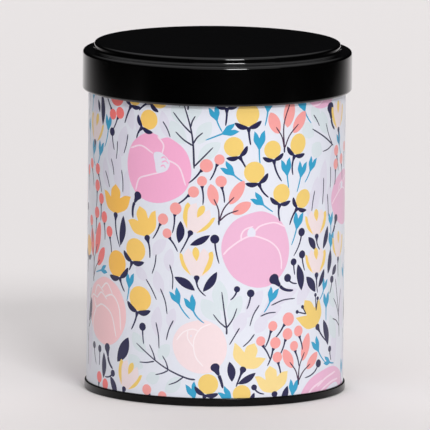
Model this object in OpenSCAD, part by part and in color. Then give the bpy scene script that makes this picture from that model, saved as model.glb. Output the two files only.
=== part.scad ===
// Double-lid tea caddy: a seamed tinplate can with a paper wrap, a plug lid with a knob and an outer lid.
// Axis along +Z, resting on z = 0. Millimetres.

/* [Overall] */
// Height from the surface it stands on to the top of the outer lid
height = 110; // [85:1:160]
// Diameter over the outer lid's skirt
lid_d = 85; // [70:1:110]

/* [Outer lid] */
// Height of the outer lid, from the bottom of its skirt to its top
lid_h = 15; // [11:0.1:30]
// Thickness of the outer lid's sheet
lid_t = 0.3; // [0.2:0.05:0.4]
// Height of the raised disc above the shoulder
disc_rise = 2.4; // [2.3:0.1:4]
// Width of the shoulder round the raised disc
shoulder_w = 3.6; // [3:0.1:6]
// Radius of the disc's upper edge, on the outside
disc_edge_r = 0.8; // [0.5:0.1:0.9]
// Radius in the corner between riser and shoulder, on the outside
riser_fillet_r = 1; // [0.5:0.1:1]
// Radius of the shoulder's outer edge, on the outside
shoulder_edge_r = 1; // [0.6:0.1:1.4]
// Diameter of the curl at the bottom of the skirt
lid_curl_d = 1.6; // [1.3:0.1:2]

/* [Body] */
// Thickness of the body's sheet
shell_t = 0.25; // [0.2:0.01:0.3]
// Diameter of the rolled rim at the mouth
rim_curl_d = 1.2; // [1.1:0.1:1.6]
// Width of the welded lap inside the body
lap_w = 3; // [2:0.5:5]
// Distance from the lap's ends to the base's panel and to the rolled rim
lap_end_gap = 1.5; // [1:0.1:4]

/* [Paper wrap] */
// Thickness of the paper
paper_t = 0.15; // [0.1:0.01:0.2]
// Width of the paper's overlap at the back
overlap_w = 8; // [5:1:15]
// Distance from the paper's top edge to the mouth
paper_top_gap = 1.8; // [1:0.1:4]

/* [Base] */
// Thickness of the base's sheet
base_t = 0.2; // [0.18:0.01:0.25]
// Radius of the bends at the foot of the seam, at the middle of the sheet
foot_bend_r = 0.25; // [0.2:0.01:0.3]
// Height of the double seam
seam_h = 2.5; // [2:0.1:3.2]
// Height of the base's panel above the surface, to its underside
panel_lift = 2; // [1.4:0.1:3]
// Radius of the bend between chuck wall and panel, at the middle of the sheet
panel_bend_r = 0.5; // [0.3:0.1:0.9]
// Height of the lining compound in the top of the seam
seal_h = 0.35; // [0.2:0.05:0.5]
// Gap between the end of the cover hook and the body hook's bottom
hook_end_gap = 0.25; // [0.1:0.05:0.5]
// Distance from the seam's chuck wall to the bead in the panel
base_bead_inset = 3.6; // [3:0.1:8]
// Height of the bead in the panel
base_bead_h = 0.6; // [0.4:0.1:0.8]
// Width of the flat top of the bead
base_bead_w = 1.6; // [1:0.1:3]
// Radius of the bead's bends, at the middle of the sheet
base_bead_bend_r = 0.3; // [0.2:0.05:0.4]

/* [Inner lid] */
// Thickness of the inner lid's sheet
inner_t = 0.25; // [0.2:0.01:0.3]
// Depth from the flange's top to the panel's underside
plug_h = 9; // [7:0.1:20]
// Corner radius between the plug's wall and its panel, on the outside
plug_corner_r = 1.5; // [0.6:0.1:2.5]
// Corner radius between the flange and the plug's wall, on the outside
flange_corner_r = 0.6; // [0.3:0.1:0.8]
// Distance from the plug's wall to the bead in the panel
inner_bead_inset = 8; // [5:0.5:14]
// Height of the bead in the panel
inner_bead_h = 0.9; // [0.5:0.1:1.2]
// Width of the flat top of the bead
inner_bead_w = 3; // [1:0.5:5]
// Radius of the bead's bends, at the middle of the sheet
inner_bead_bend_r = 0.5; // [0.3:0.1:0.8]

/* [Knob] */
// Diameter of the knob's head
knob_d = 16; // [14:0.5:22]
// Radius of the knob's neck
neck_r = 3.4; // [2.8:0.1:4]
// Radius of the hollow round the neck
waist_r = 2.2; // [1.5:0.1:2.4]
// Height of the knob's foot
foot_h = 0.8; // [0.5:0.1:1.5]
// Radius of the head's rim
head_rim_r = 1; // [0.7:0.1:1.3]
// Height of the head's dome above its rim
dome_h = 1; // [0.4:0.1:1.4]
// Radius of the rivet's shank
rivet_r = 1.25; // [0.9:0.05:1.6]
// Radius of the rivet's head
rivet_head_r = 2.3; // [2:0.1:2.6]
// Height of the rivet's head
rivet_head_h = 0.9; // [0.7:0.1:1.2]
// Depth of the rivet's head below the middle of the knob's dome
rivet_sink = 0.3; // [0.1:0.1:0.6]
// Radius of the rivet's closed tail
rivet_tail_r = 2.1; // [1.8:0.1:2.6]
// Height of the rivet's closed tail
rivet_tail_h = 0.7; // [0.5:0.1:1]
// Width of the slope round the rivet's tail
rivet_tail_taper = 0.25; // [0.1:0.05:0.4]
// Radius of the washer
washer_r = 3.6; // [3:0.1:5]
// Thickness of the washer
washer_t = 0.5; // [0.4:0.1:0.8]

/* [Fits] */
// Radial gap between the outer lid's curl and the paper
lid_gap = 0.3; // [0.25:0.05:0.5]
// Gap between the outer lid's shoulder and the inner lid's flange
lid_seat_gap = 0.1; // [0.05:0.01:0.3]
// Radial gap between the plug and the rolled rim
plug_gap = 0.08; // [0.05:0.01:0.2]
// Distance that the flange stays inside the body's outer face
flange_inset = 0.3; // [0.1:0.1:0.6]
// Gap between the layers of the double seam
seam_gap = 0.03; // [0.02:0.01:0.05]
// Gap that the paste fills between body and paper
paste_gap = 0.02; // [0.01:0.01:0.04]
// Gap between the paper's lower edge and the seam
paper_foot_gap = 0.05; // [0.02:0.01:0.3]
// Radial gap round the rivet
rivet_gap = 0.05; // [0.03:0.01:0.1]

/* [Hidden] */
$fn = 180;
// Flat pieces in each bend of a sheet
BEND_STEPS = 6;
// Angle of the back, where the lap and the paper's overlap lie
BACK = 90;
// Least distance between two points of an outline
MERGE = 0.0005;

// Radii, from the outside in
lid_r = lid_d / 2;
paper_r = lid_r - lid_curl_d - lid_gap;
shell_r = paper_r - paper_t - paste_gap;
shell_mid_r = shell_r - shell_t / 2;
rim_bore_r = shell_r - rim_curl_d;
plug_r = rim_bore_r - plug_gap;
disc_r = lid_r - shoulder_w;

// Layers of the double seam, outside the body wall and inside it, to the middle of each sheet
cover_hook_r = shell_r + seam_gap + base_t / 2;
body_hook_r = cover_hook_r + base_t / 2 + seam_gap + shell_t / 2;
seam_wall_r = body_hook_r + shell_t / 2 + seam_gap + base_t / 2;
chuck_wall_r = shell_r - shell_t - seam_gap - base_t / 2;
hook_bend_r = (body_hook_r - shell_mid_r) / 2;
cover_bend_r = (seam_wall_r - cover_hook_r) / 2;

// Heights, from the top down
shoulder_z = height - disc_rise;
rim_z = shoulder_z - lid_t - lid_seat_gap - inner_t;
flange_z = rim_z + inner_t;
plug_panel_z = flange_z - plug_h + inner_t;
skirt_z = height - lid_h;
paper_foot_z = seam_h + paper_foot_gap;
paper_top_z = rim_z - paper_top_gap;

// The double seam's inside, from the bottom up
hook_floor_z = base_t + seam_gap + shell_t;
cover_hook_z = hook_floor_z + hook_end_gap;
seal_top_z = seam_h - base_t / 2 - cover_bend_r;
seal_z = seal_top_z - seal_h;
body_hook_z = seal_z - seam_gap;

knob_z = plug_panel_z;
waist_z = knob_z + foot_h;
head_z = waist_z + 2 * waist_r;
head_top_z = head_z + 2 * head_rim_r;
knob_top_z = head_top_z + dome_h;
head_flat_r = knob_d / 2 - head_rim_r;
rivet_hole_r = rivet_r + rivet_gap;
pocket_r = rivet_head_r + rivet_gap;
pocket_z = knob_top_z - rivet_head_h - rivet_sink;

// ---- Sheet sections: a path of [r, z, bend radius] points, taken along the middle of the sheet ----

function spot(p) = [p[0], p[1]];
function unit(v) = v / norm(v);
function side_of(d) = [-d[1], d[0]];
function turned(d, a) = [d[0] * cos(a) - d[1] * sin(a), d[0] * sin(a) + d[1] * cos(a)];
function heading(a, b) = unit(spot(b) - spot(a));
function turn_between(d, e) = atan2(d[0] * e[1] - d[1] * e[0], d * e);

// Pairs of [point, side direction] round the bend at b
function bend(a, b, c) =
    let (
        d = heading(a, b),
        turn = turn_between(d, heading(b, c)),
        way = sign(turn),
        start = spot(b) - d * b[2] * tan(abs(turn) / 2),
        centre = start + way * side_of(d) * b[2]
    )
    [
        for (k = [0:BEND_STEPS])
            let (side = side_of(turned(d, turn * k / BEND_STEPS)))
            [centre - way * side * b[2], side]
    ];

function middle_line(path) =
    let (n = len(path) - 1)
    [
        [spot(path[0]), side_of(heading(path[0], path[1]))],
        for (i = [1:n - 1]) each bend(path[i - 1], path[i], path[i + 1]),
        [spot(path[n]), side_of(heading(path[n - 1], path[n]))]
    ];

function distinct(points) =
    [for (i = [0:len(points) - 1]) if (i == 0 || norm(points[i] - points[i - 1]) > MERGE) points[i]];

module sheet(path, thickness) {
    line = middle_line(path);
    near = [for (q = line) q[0] + q[1] * thickness / 2];
    far = [for (i = [len(line) - 1:-1:0]) line[i][0] - line[i][1] * thickness / 2];
    rotate_extrude() polygon(concat(distinct(near), distinct(far)));
}

// Points on an arc about [r, z]
function arc(r, z, radius, from, to, steps = 12) =
    [for (k = [0:steps]) let (a = from + (to - from) * k / steps) [r + radius * cos(a), z + radius * sin(a)]];

function after_first(points) = [for (i = [1:len(points) - 1]) points[i]];

// A round strip that covers an arc length of width at the back, between two radii and two heights
module back_strip(width, r_in, r_out, z_low, z_high) {
    sweep = width / r_out * 180 / PI;
    rotate([0, 0, BACK - sweep / 2])
        rotate_extrude(angle = sweep)
            translate([r_in, z_low]) square([r_out - r_in, z_high - z_low]);
}

// A plain ring between two radii and two heights
module ring(r_in, r_out, z_low, z_high) {
    rotate_extrude() translate([r_in, z_low]) square([r_out - r_in, z_high - z_low]);
}

// ---- Sub-parts ----

module base_plate() {
    panel_mid_z = panel_lift + base_t / 2;
    bead_out_r = chuck_wall_r - base_bead_inset;
    bead_in_r = bead_out_r - base_bead_w - 2 * base_bead_h;
    color([0.06, 0.06, 0.07])
        sheet([
            [0, panel_mid_z],
            [bead_in_r, panel_mid_z, base_bead_bend_r],
            [bead_in_r + base_bead_h, panel_mid_z + base_bead_h, base_bead_bend_r],
            [bead_out_r - base_bead_h, panel_mid_z + base_bead_h, base_bead_bend_r],
            [bead_out_r, panel_mid_z, base_bead_bend_r],
            [chuck_wall_r, panel_mid_z, panel_bend_r],
            [chuck_wall_r, base_t / 2, foot_bend_r],
            [seam_wall_r, base_t / 2, foot_bend_r],
            [seam_wall_r, seam_h - base_t / 2, cover_bend_r],
            [cover_hook_r, seam_h - base_t / 2, cover_bend_r],
            [cover_hook_r, cover_hook_z]
        ], base_t);
}

module base_seal() {
    color([0.75, 0.55, 0.3])
        ring(body_hook_r - shell_t / 2, body_hook_r + shell_t / 2, seal_z, seal_top_z);
}

module body_shell() {
    curl_bend_r = (rim_curl_d - shell_t) / 2;
    curl_mid_r = rim_bore_r + shell_t / 2;
    rim_mid_z = rim_z - shell_t / 2;
    color([0.8, 0.8, 0.8]) {
        sheet([
            [body_hook_r, body_hook_z],
            [body_hook_r, hook_floor_z - shell_t / 2, hook_bend_r],
            [shell_mid_r, hook_floor_z - shell_t / 2, hook_bend_r],
            [shell_mid_r, rim_mid_z, curl_bend_r],
            [curl_mid_r, rim_mid_z, curl_bend_r],
            [curl_mid_r, rim_mid_z - 2 * curl_bend_r, curl_bend_r],
            [shell_mid_r - shell_t, rim_mid_z - 2 * curl_bend_r]
        ], shell_t);
        back_strip(lap_w, shell_r - 2 * shell_t, shell_mid_r,
            panel_lift + base_t + lap_end_gap, rim_z - rim_curl_d - lap_end_gap);
    }
}

module paper_wrap() {
    color([0.9, 0.88, 0.93]) {
        ring(shell_r + paste_gap, paper_r, paper_foot_z, paper_top_z);
        back_strip(overlap_w, paper_r - paper_t / 2, paper_r + paper_t, paper_foot_z, paper_top_z);
    }
}

module inner_lid() {
    panel_mid_z = plug_panel_z - inner_t / 2;
    wall_mid_r = plug_r - inner_t / 2;
    bead_out_r = wall_mid_r - inner_bead_inset;
    bead_in_r = bead_out_r - inner_bead_w - 2 * inner_bead_h;
    color([0.78, 0.78, 0.8])
        sheet([
            [rivet_hole_r, panel_mid_z],
            [bead_in_r, panel_mid_z, inner_bead_bend_r],
            [bead_in_r + inner_bead_h, panel_mid_z + inner_bead_h, inner_bead_bend_r],
            [bead_out_r - inner_bead_h, panel_mid_z + inner_bead_h, inner_bead_bend_r],
            [bead_out_r, panel_mid_z, inner_bead_bend_r],
            [wall_mid_r, panel_mid_z, plug_corner_r - inner_t / 2],
            [wall_mid_r, flange_z - inner_t / 2, flange_corner_r - inner_t / 2],
            [shell_r - flange_inset, flange_z - inner_t / 2]
        ], inner_t);
}

module lid_knob() {
    // The dome is an arc through its rim and its middle
    dome_r = (head_flat_r * head_flat_r + dome_h * dome_h) / (2 * dome_h);
    dome_edge = asin(head_flat_r / dome_r);
    pocket_edge = asin(pocket_r / dome_r);
    color([0.08, 0.08, 0.09])
        rotate_extrude()
            polygon(concat(
                [[rivet_hole_r, knob_z], [neck_r + waist_r, knob_z]],
                arc(neck_r + waist_r, waist_z + waist_r, waist_r, 270, 90),
                arc(head_flat_r, head_z + head_rim_r, head_rim_r, -90, 90),
                after_first(arc(0, knob_top_z - dome_r, dome_r, 90 - dome_edge, 90 - pocket_edge)),
                [[pocket_r, pocket_z], [rivet_hole_r, pocket_z]]
            ));
}

module knob_rivet() {
    tail_z = plug_panel_z - inner_t - washer_t;
    // The head's crown is an arc of half its radius in height
    crown_h = rivet_head_h / 2;
    crown_r = (rivet_head_r * rivet_head_r + crown_h * crown_h) / (2 * crown_h);
    crown_edge = asin(rivet_head_r / crown_r);
    color([0.75, 0.75, 0.77])
        rotate_extrude()
            polygon(concat(
                [[0, tail_z - rivet_tail_h], [rivet_tail_r - rivet_tail_taper, tail_z - rivet_tail_h]],
                [[rivet_tail_r, tail_z], [rivet_r, tail_z]],
                [[rivet_r, pocket_z], [rivet_head_r, pocket_z]],
                arc(0, pocket_z + rivet_head_h - crown_r, crown_r, 90 - crown_edge, 90, 6)
            ));
}

module knob_washer() {
    color([0.7, 0.7, 0.72])
        ring(rivet_hole_r, washer_r, plug_panel_z - inner_t - washer_t, plug_panel_z - inner_t);
}

module outer_lid() {
    top_mid_z = height - lid_t / 2;
    shoulder_mid_z = shoulder_z - lid_t / 2;
    riser_mid_r = disc_r - lid_t / 2;
    skirt_mid_r = lid_r - lid_t / 2;
    curl_bend_r = (lid_curl_d - lid_t) / 2;
    curl_mid_r = lid_r - lid_curl_d + lid_t / 2;
    curl_mid_z = skirt_z + lid_t / 2;
    color([0.05, 0.05, 0.06])
        sheet([
            [0, top_mid_z],
            [riser_mid_r, top_mid_z, disc_edge_r - lid_t / 2],
            [riser_mid_r, shoulder_mid_z, riser_fillet_r + lid_t / 2],
            [skirt_mid_r, shoulder_mid_z, shoulder_edge_r - lid_t / 2],
            [skirt_mid_r, curl_mid_z, curl_bend_r],
            [curl_mid_r, curl_mid_z, curl_bend_r],
            [curl_mid_r, curl_mid_z + 2 * curl_bend_r, curl_bend_r],
            [skirt_mid_r - lid_t, curl_mid_z + 2 * curl_bend_r]
        ], lid_t);
}

base_plate();
base_seal();
body_shell();
paper_wrap();
inner_lid();
lid_knob();
knob_rivet();
knob_washer();
outer_lid();
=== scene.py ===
"""A double-lid tea caddy: black lacquered lid and base seam, floral paper wrap, tinplate inside.

The turned parts are lathed from the same sheet sections as the CAD model, at a finer step.
The wrap's print is a flat plan in millimetres, u round the can and v up from the surface it stands on.
The plan is cut into faces along every motif's outline, and rolled round the can twice."""

import math

import bpy
from mathutils import Matrix, Vector
from mathutils.geometry import delaunay_2d_cdt


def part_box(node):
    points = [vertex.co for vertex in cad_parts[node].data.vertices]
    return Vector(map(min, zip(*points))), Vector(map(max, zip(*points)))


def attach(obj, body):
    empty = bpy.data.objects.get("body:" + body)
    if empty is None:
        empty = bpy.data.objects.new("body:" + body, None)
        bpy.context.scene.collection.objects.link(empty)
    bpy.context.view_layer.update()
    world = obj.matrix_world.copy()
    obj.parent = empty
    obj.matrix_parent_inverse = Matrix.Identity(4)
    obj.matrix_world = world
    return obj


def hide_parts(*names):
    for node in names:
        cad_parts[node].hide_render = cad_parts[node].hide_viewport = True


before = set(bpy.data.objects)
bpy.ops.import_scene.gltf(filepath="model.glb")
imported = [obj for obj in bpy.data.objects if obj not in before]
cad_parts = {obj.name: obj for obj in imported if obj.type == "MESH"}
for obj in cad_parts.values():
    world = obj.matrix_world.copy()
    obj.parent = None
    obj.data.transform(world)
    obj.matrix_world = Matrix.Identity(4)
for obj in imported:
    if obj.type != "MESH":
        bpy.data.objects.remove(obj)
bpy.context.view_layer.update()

MM = 0.001

# ---------------------------------------------------------------- sizes, in millimetres, some read from model.glb


def node_top(node):
    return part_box(node)[1][2] / MM


def node_foot(node):
    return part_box(node)[0][2] / MM


def node_radius(node):
    """Half of the widest width of a turned node."""
    low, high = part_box(node)
    return max(high[0] - low[0], high[1] - low[1]) / 2 / MM


SHEET_LID = 0.3
SHEET_SHELL = 0.25
SHEET_BASE = 0.2
SHEET_INNER = 0.25
PAPER = 0.15
OVERLAP = 8.0
RIM_CURL = 1.2
LID_CURL = 1.6
LID_GAP = 0.3
SEAM_GAP = 0.03
PASTE_GAP = 0.02

LID_TOP = node_top("outer_lid")
LID_FOOT = node_foot("outer_lid")
LID_R = 42.5
DISC_RISE = 2.4
DISC_R = 38.9
DISC_EDGE_R = 0.8
SHOULDER_R = 1.0
PAPER_R = LID_R - LID_CURL - LID_GAP
SHELL_R = PAPER_R - PAPER - PASTE_GAP
PAPER_FOOT = node_foot("paper_wrap")
PAPER_TOP = node_top("paper_wrap")
RIM_TOP = node_top("body_shell")
SEAM_H = 2.5
HOOK_TOP = 1.765
LAP_WIDTH = 3.0
LAP_FOOT = 3.7
LAP_TOP = RIM_TOP - RIM_CURL - 1.5
RIVET_R = 1.25
RIVET_HOLE_R = 1.3
RIVET_HEAD_R = 2.3
RIVET_POCKET_R = 2.35

# ---------------------------------------------------------------- turned parts

BEND_STEPS = 9


def turned(direction, angle):
    """A flat direction turned by an angle in radians."""
    c, s = math.cos(angle), math.sin(angle)
    return Vector((direction[0] * c - direction[1] * s, direction[0] * s + direction[1] * c))


def middle_line(path):
    """(point, side direction) along a sheet's middle, from [r, z, bend radius] points."""
    spots = [Vector(p[:2]) for p in path]
    side = lambda d: Vector((-d[1], d[0]))
    first = (spots[1] - spots[0]).normalized()
    line = [(spots[0], side(first))]
    for i in range(1, len(path) - 1):
        into = (spots[i] - spots[i - 1]).normalized()
        out = (spots[i + 1] - spots[i]).normalized()
        angle = math.atan2(into[0] * out[1] - into[1] * out[0], into.dot(out))
        way = 1 if angle > 0 else -1
        radius = path[i][2]
        start = spots[i] - into * radius * math.tan(abs(angle) / 2)
        centre = start + side(into) * way * radius
        count = max(2, round(BEND_STEPS * abs(angle) / (math.pi / 2)))
        for k in range(count + 1):
            normal = side(turned(into, angle * k / count))
            line.append((centre - normal * way * radius, normal))
    line.append((spots[-1], side((spots[-1] - spots[-2]).normalized())))
    return line


def sheet_runs(path, thickness):
    """The sheet's outline as runs of (point, normal). Runs meet in sharp corners."""
    line = middle_line(path)
    near = [(p + n * thickness / 2, n) for p, n in line]
    far = [(p - n * thickness / 2, -n) for p, n in reversed(line)]
    head = (line[-1][0] - line[-2][0]).normalized()
    runs = [near, [(near[-1][0], head), (far[0][0], head)], far]
    if path[0][0] > 0:
        tail = (line[0][0] - line[1][0]).normalized()
        runs.append([(far[-1][0], tail), (near[0][0], tail)])
    return runs


def flat_runs(points, closed=False):
    """Straight sides between points, each with its own normal on the right of its way."""
    line = [Vector(p) for p in points]
    if closed:
        line.append(line[0])
    runs = []
    for a, b in zip(line, line[1:]):
        d = (b - a).normalized()
        normal = Vector((d[1], -d[0]))
        runs.append([(a, normal), (b, normal)])
    return runs


def lathe(name, runs, segments=192):
    """Turns runs of (point, normal) about the axis into one closed mesh with exact corner normals."""
    spots, index = [], {}

    def spot_of(p):
        key = (round(p[0], 5), round(p[1], 5))
        if key not in index:
            index[key] = len(spots)
            spots.append(key)
        return index[key]

    verts, base = [], []
    strips = []
    for run in runs:
        for (a, na), (b, nb) in zip(run, run[1:]):
            if (a - b).length > 1e-5:
                strips.append((spot_of(a), na, spot_of(b), nb))
    for r, z in spots:
        base.append(len(verts))
        count = 1 if r < 1e-6 else segments
        for k in range(count):
            turn = 2 * math.pi * k / segments
            verts.append((r * math.cos(turn) * MM, r * math.sin(turn) * MM, z * MM))

    def vert(i, k):
        return base[i] if spots[i][0] < 1e-6 else base[i] + k % segments

    def normal(n, k):
        turn = 2 * math.pi * k / segments
        return (n[0] * math.cos(turn), n[0] * math.sin(turn), n[1])

    faces, normals = [], []
    for i, ni, j, nj in strips:
        for k in range(segments):
            corners = [(vert(i, k), normal(ni, k)), (vert(i, k + 1), normal(ni, k + 1)),
                       (vert(j, k + 1), normal(nj, k + 1)), (vert(j, k), normal(nj, k))]
            kept = [c for n, c in enumerate(corners) if c[0] != corners[n - 1][0]]
            if len(kept) > 2:
                faces.append([c[0] for c in kept])
                normals.extend(c[1] for c in kept)
    return finish_mesh(name, verts, faces, normals)


def finish_mesh(name, verts, faces, normals, extras=()):
    """A new object with that mesh, its faces turned to agree with their corner normals.

    extras are further lists with one entry per face corner. They are turned along."""
    start = 0
    for face in faces:
        end = start + len(face)
        a, b, c = (Vector(verts[face[n]]) for n in (0, 1, 2))
        wanted = sum((Vector(n) for n in normals[start:end]), Vector())
        if (b - a).cross(c - a).dot(wanted) < 0:
            face.reverse()
            for entries in (normals, *extras):
                entries[start:end] = entries[start:end][::-1]
        start = end
    mesh = bpy.data.meshes.new(name)
    mesh.from_pydata(verts, [], faces)
    mesh.shade_smooth()
    mesh.normals_split_custom_set([Vector(n).normalized() for n in normals])
    obj = bpy.data.objects.new(name, mesh)
    bpy.context.scene.collection.objects.link(obj)
    return obj


def arc_run(r, z, radius, start, end, steps=14, inward=False):
    """(point, normal) along an arc about [r, z], angles in degrees."""
    run = []
    for k in range(steps + 1):
        a = math.radians(start + (end - start) * k / steps)
        n = Vector((math.cos(a), math.sin(a)))
        run.append((Vector((r, z)) + n * radius, -n if inward else n))
    return run


# ---------------------------------------------------------------- materials


def material(name):
    """A new node material: (material, node tree, principled shader)."""
    mat = bpy.data.materials.new(name)
    mat.use_nodes = True
    tree = mat.node_tree
    shader = tree.nodes["Principled BSDF"]
    return mat, tree, shader


def noise(tree, scale, detail=3.0, stretch=(1, 1, 1)):
    """Noise over the object's own coordinates, in metres. Returns the output 0 to 1."""
    coords = tree.nodes.new("ShaderNodeTexCoord")
    mapping = tree.nodes.new("ShaderNodeMapping")
    mapping.inputs["Scale"].default_value = stretch
    tex = tree.nodes.new("ShaderNodeTexNoise")
    tex.inputs["Scale"].default_value = scale
    tex.inputs["Detail"].default_value = detail
    tree.links.new(coords.outputs["Object"], mapping.inputs["Vector"])
    tree.links.new(mapping.outputs["Vector"], tex.inputs["Vector"])
    return tex.outputs["Fac"]


def ranged(tree, value, from_low, from_high, low=0.0, high=1.0, smooth=False):
    """A value mapped from one range to another, held at its ends."""
    node = tree.nodes.new("ShaderNodeMapRange")
    if smooth:
        node.interpolation_type = "SMOOTHSTEP"
    node.inputs["From Min"].default_value = from_low
    node.inputs["From Max"].default_value = from_high
    node.inputs["To Min"].default_value = low
    node.inputs["To Max"].default_value = high
    tree.links.new(value, node.inputs["Value"])
    return node.outputs["Result"]


def spread(tree, value, low, high):
    """A noise value, mostly between 0.3 and 0.7, mapped to low to high."""
    return ranged(tree, value, 0.3, 0.7, low, high)


def bump(tree, shader, height, distance, under=None):
    """Adds a bump, in metres, to the shader's normal, on top of the bump under it where there is one."""
    node = tree.nodes.new("ShaderNodeBump")
    node.inputs["Strength"].default_value = 1.0
    node.inputs["Distance"].default_value = distance
    tree.links.new(height, node.inputs["Height"])
    if under:
        tree.links.new(under.outputs["Normal"], node.inputs["Normal"])
    tree.links.new(node.outputs["Normal"], shader.inputs["Normal"])
    return node


def blended(tree, value, low, high):
    """A colour between two, by a 0 to 1 value."""
    ramp = tree.nodes.new("ShaderNodeMix")
    ramp.data_type = "RGBA"
    ramp.inputs["A"].default_value = (*low, 1)
    ramp.inputs["B"].default_value = (*high, 1)
    tree.links.new(value, ramp.inputs["Factor"])
    return ramp.outputs["Result"]


def linear(*srgb):
    """Screen values 0 to 255 as linear light."""
    return tuple(c / 255 / 12.92 if c < 10.5 else ((c / 255 + 0.055) / 1.055) ** 2.4 for c in srgb)


def finish(name, colours, mottle, roughness, rubs, bumps, constants):
    """A material with its colour, its roughness and its bumps varied by noises.

    mottle and rubs are noise() settings, bumps are pairs of noise() settings and a depth in metres, and
    constants are plain values for the shader's sockets."""
    mat, tree, shader = material(name)
    tree.links.new(blended(tree, noise(tree, *mottle), *colours), shader.inputs["Base Color"])
    tree.links.new(spread(tree, noise(tree, *rubs), *roughness), shader.inputs["Roughness"])
    under = None
    for settings, depth in bumps:
        under = bump(tree, shader, noise(tree, *settings), depth, under)
    for socket, value in constants.items():
        shader.inputs[socket].default_value = value
    return mat


def lacquer(name, roughness, peel, coat=0.35, ior=1.42):
    """Black baked lacquer: slight orange peel, faint rub marks and a clear gloss."""
    return finish(
        name, (linear(0, 0, 0), linear(1.5, 1.5, 1.5)), (60, 4),
        (roughness * 0.85, roughness * 1.2), (900, 5, (1, 1, 0.25)),
        (((350, 2), peel), ((2500, 3), peel * 0.08)),
        {"IOR": ior, "Coat Weight": coat, "Coat Roughness": 0.06})


def tinplate(name, colour, roughness):
    """Bright rolled tinplate: fine rolling lines, soft spangle and handling haze."""
    return finish(
        name, (tuple(c * 0.8 for c in colour), colour), (220, 4),
        (roughness * 0.75, roughness * 1.35), (45, 5), (((900, 3, (0.04, 1, 1)), 0.000006),),
        {"Metallic": 0.82})


def moulded_plastic():
    """Black moulded plastic with a fine satin grain."""
    grain = (1800, 3)
    return finish(
        "knob_plastic", (linear(14, 14, 15), linear(24, 23, 24)), grain,
        (0.24, 0.36), (300, 4), ((grain, 0.00001),), {})


def compound():
    """The tan lining compound in the base seam, dull and a little uneven."""
    lumps = (700, 4)
    return finish(
        "seam_compound", (linear(150, 112, 66), linear(186, 146, 92)), lumps,
        (0.7, 0.7), lumps, ((lumps, 0.00003),), {})


def printed_paper():
    """Inked paper under a thin clear film. The ink's colour comes from the faces of the print."""
    mat, tree, shader = material("printed_paper")
    ink = tree.nodes.new("ShaderNodeAttribute")
    ink.attribute_name = "ink"
    shade = tree.nodes.new("ShaderNodeMix")
    shade.data_type = "RGBA"
    shade.blend_type = "MULTIPLY"
    shade.inputs["Factor"].default_value = 1.0
    fibre = noise(tree, 1400, 5, (1, 1, 0.6))
    tree.links.new(ink.outputs["Color"], shade.inputs["A"])
    tree.links.new(blended(tree, fibre, (0.955, 0.955, 0.96), (1.0, 1.0, 1.0)), shade.inputs["B"])
    tree.links.new(shade.outputs["Result"], shader.inputs["Base Color"])
    tree.links.new(spread(tree, noise(tree, 90, 4), 0.34, 0.42), shader.inputs["Roughness"])
    shader.inputs["Specular IOR Level"].default_value = 0.3
    shader.inputs["Coat Weight"].default_value = 0.35
    shader.inputs["Coat Roughness"].default_value = 0.16
    ripple = bump(tree, shader, noise(tree, 55, 2), 0.00004)
    bump(tree, shader, fibre, 0.000006, under=ripple)
    return mat


# ---------------------------------------------------------------- the print: inks

INKS = {
    "paper": linear(223, 226, 236),
    "eye": linear(225, 224, 237),
    "lilac": linear(219, 217, 231),
    "mint": linear(213, 223, 228),
    # The next one is the pink printed deeper as painted shade, for the bloom on the plan's left side.
    "rose": linear(241, 171, 206),
    "pink": linear(232, 180, 209),
    "pink_line": linear(244, 216, 231),
    "flesh": linear(247, 201, 205),
    "blush": linear(240, 219, 222),
    "blush_line": linear(246, 234, 237),
    # The next two are the yellow printed deeper as painted shade, for the plan's left side.
    "yellow_painted_shade": linear(249, 191, 84),
    "yellow_painted_half_shade": linear(247, 202, 105),
    "yellow": linear(236, 202, 113),
    # The next one is the yellow made paler as a painted sheen, for the two low tulips.
    "yellow_painted_sheen": linear(240, 213, 143),
    "cup": linear(236, 220, 221),
    "cup_yellow": linear(240, 204, 108),
    "coral": linear(240, 159, 156),
    # The next one is the coral printed deeper as painted shade, for the plan's left side.
    "coral_painted_shade": linear(247, 120, 117),
    "vein": linear(66, 36, 68),
    "navy": linear(31, 30, 73),
    "twig": linear(48, 47, 77),
    "teal": linear(44, 156, 197),
}

# ---------------------------------------------------------------- the print: drawing

HALF_TURN = math.pi * PAPER_R
PRINT_TURN = 1.0
PRINT_SLANT = 0.0088
drawn = []


def set_over(u, v):
    """The print's sideways set, as seen from the front, is a longer way round the can's sides."""
    return u + (PRINT_TURN - PRINT_SLANT * v) / max(abs(math.cos(u / PAPER_R)), 0.4)


def area(outline):
    """Signed area, above zero for an anticlockwise outline."""
    return sum(a[0] * b[1] - b[0] * a[1] for a, b in zip(outline, outline[1:] + outline[:1])) / 2


def draw(ink, outline):
    """Adds a filled outline to the print, over what is already there. Outlines are kept anticlockwise."""
    points = [Vector((set_over(u, v), v)) for u, v in outline]
    drawn.append((ink, points if area(points) > 0 else points[::-1]))


def at(u, v, lean=0.0):
    """A local frame at (u, v) whose up leans clockwise by lean degrees. Returns place(x, y)."""
    a = math.radians(lean)
    return lambda x, y: Vector((u + x * math.cos(a) + y * math.sin(a), v - x * math.sin(a) + y * math.cos(a)))


def through(points, steps=6, closed=False):
    """A smooth curve through points."""
    p = [Vector(q) for q in points]
    n = len(p)
    curve = []
    for i in range(n if closed else n - 1):
        a = p[(i - 1) % n] if closed or i > 0 else p[0] * 2 - p[1]
        b, c = p[i], p[(i + 1) % n]
        d = p[(i + 2) % n] if closed or i < n - 2 else p[-1] * 2 - p[-2]
        for k in range(steps):
            t = k / steps
            curve.append(((b * 2) + (c - a) * t + (a * 2 - b * 5 + c * 4 - d) * t ** 2
                          + (b * 3 - a - c * 3 + d) * t ** 3) / 2)
    if not closed:
        curve.append(p[-1])
    return curve


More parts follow.
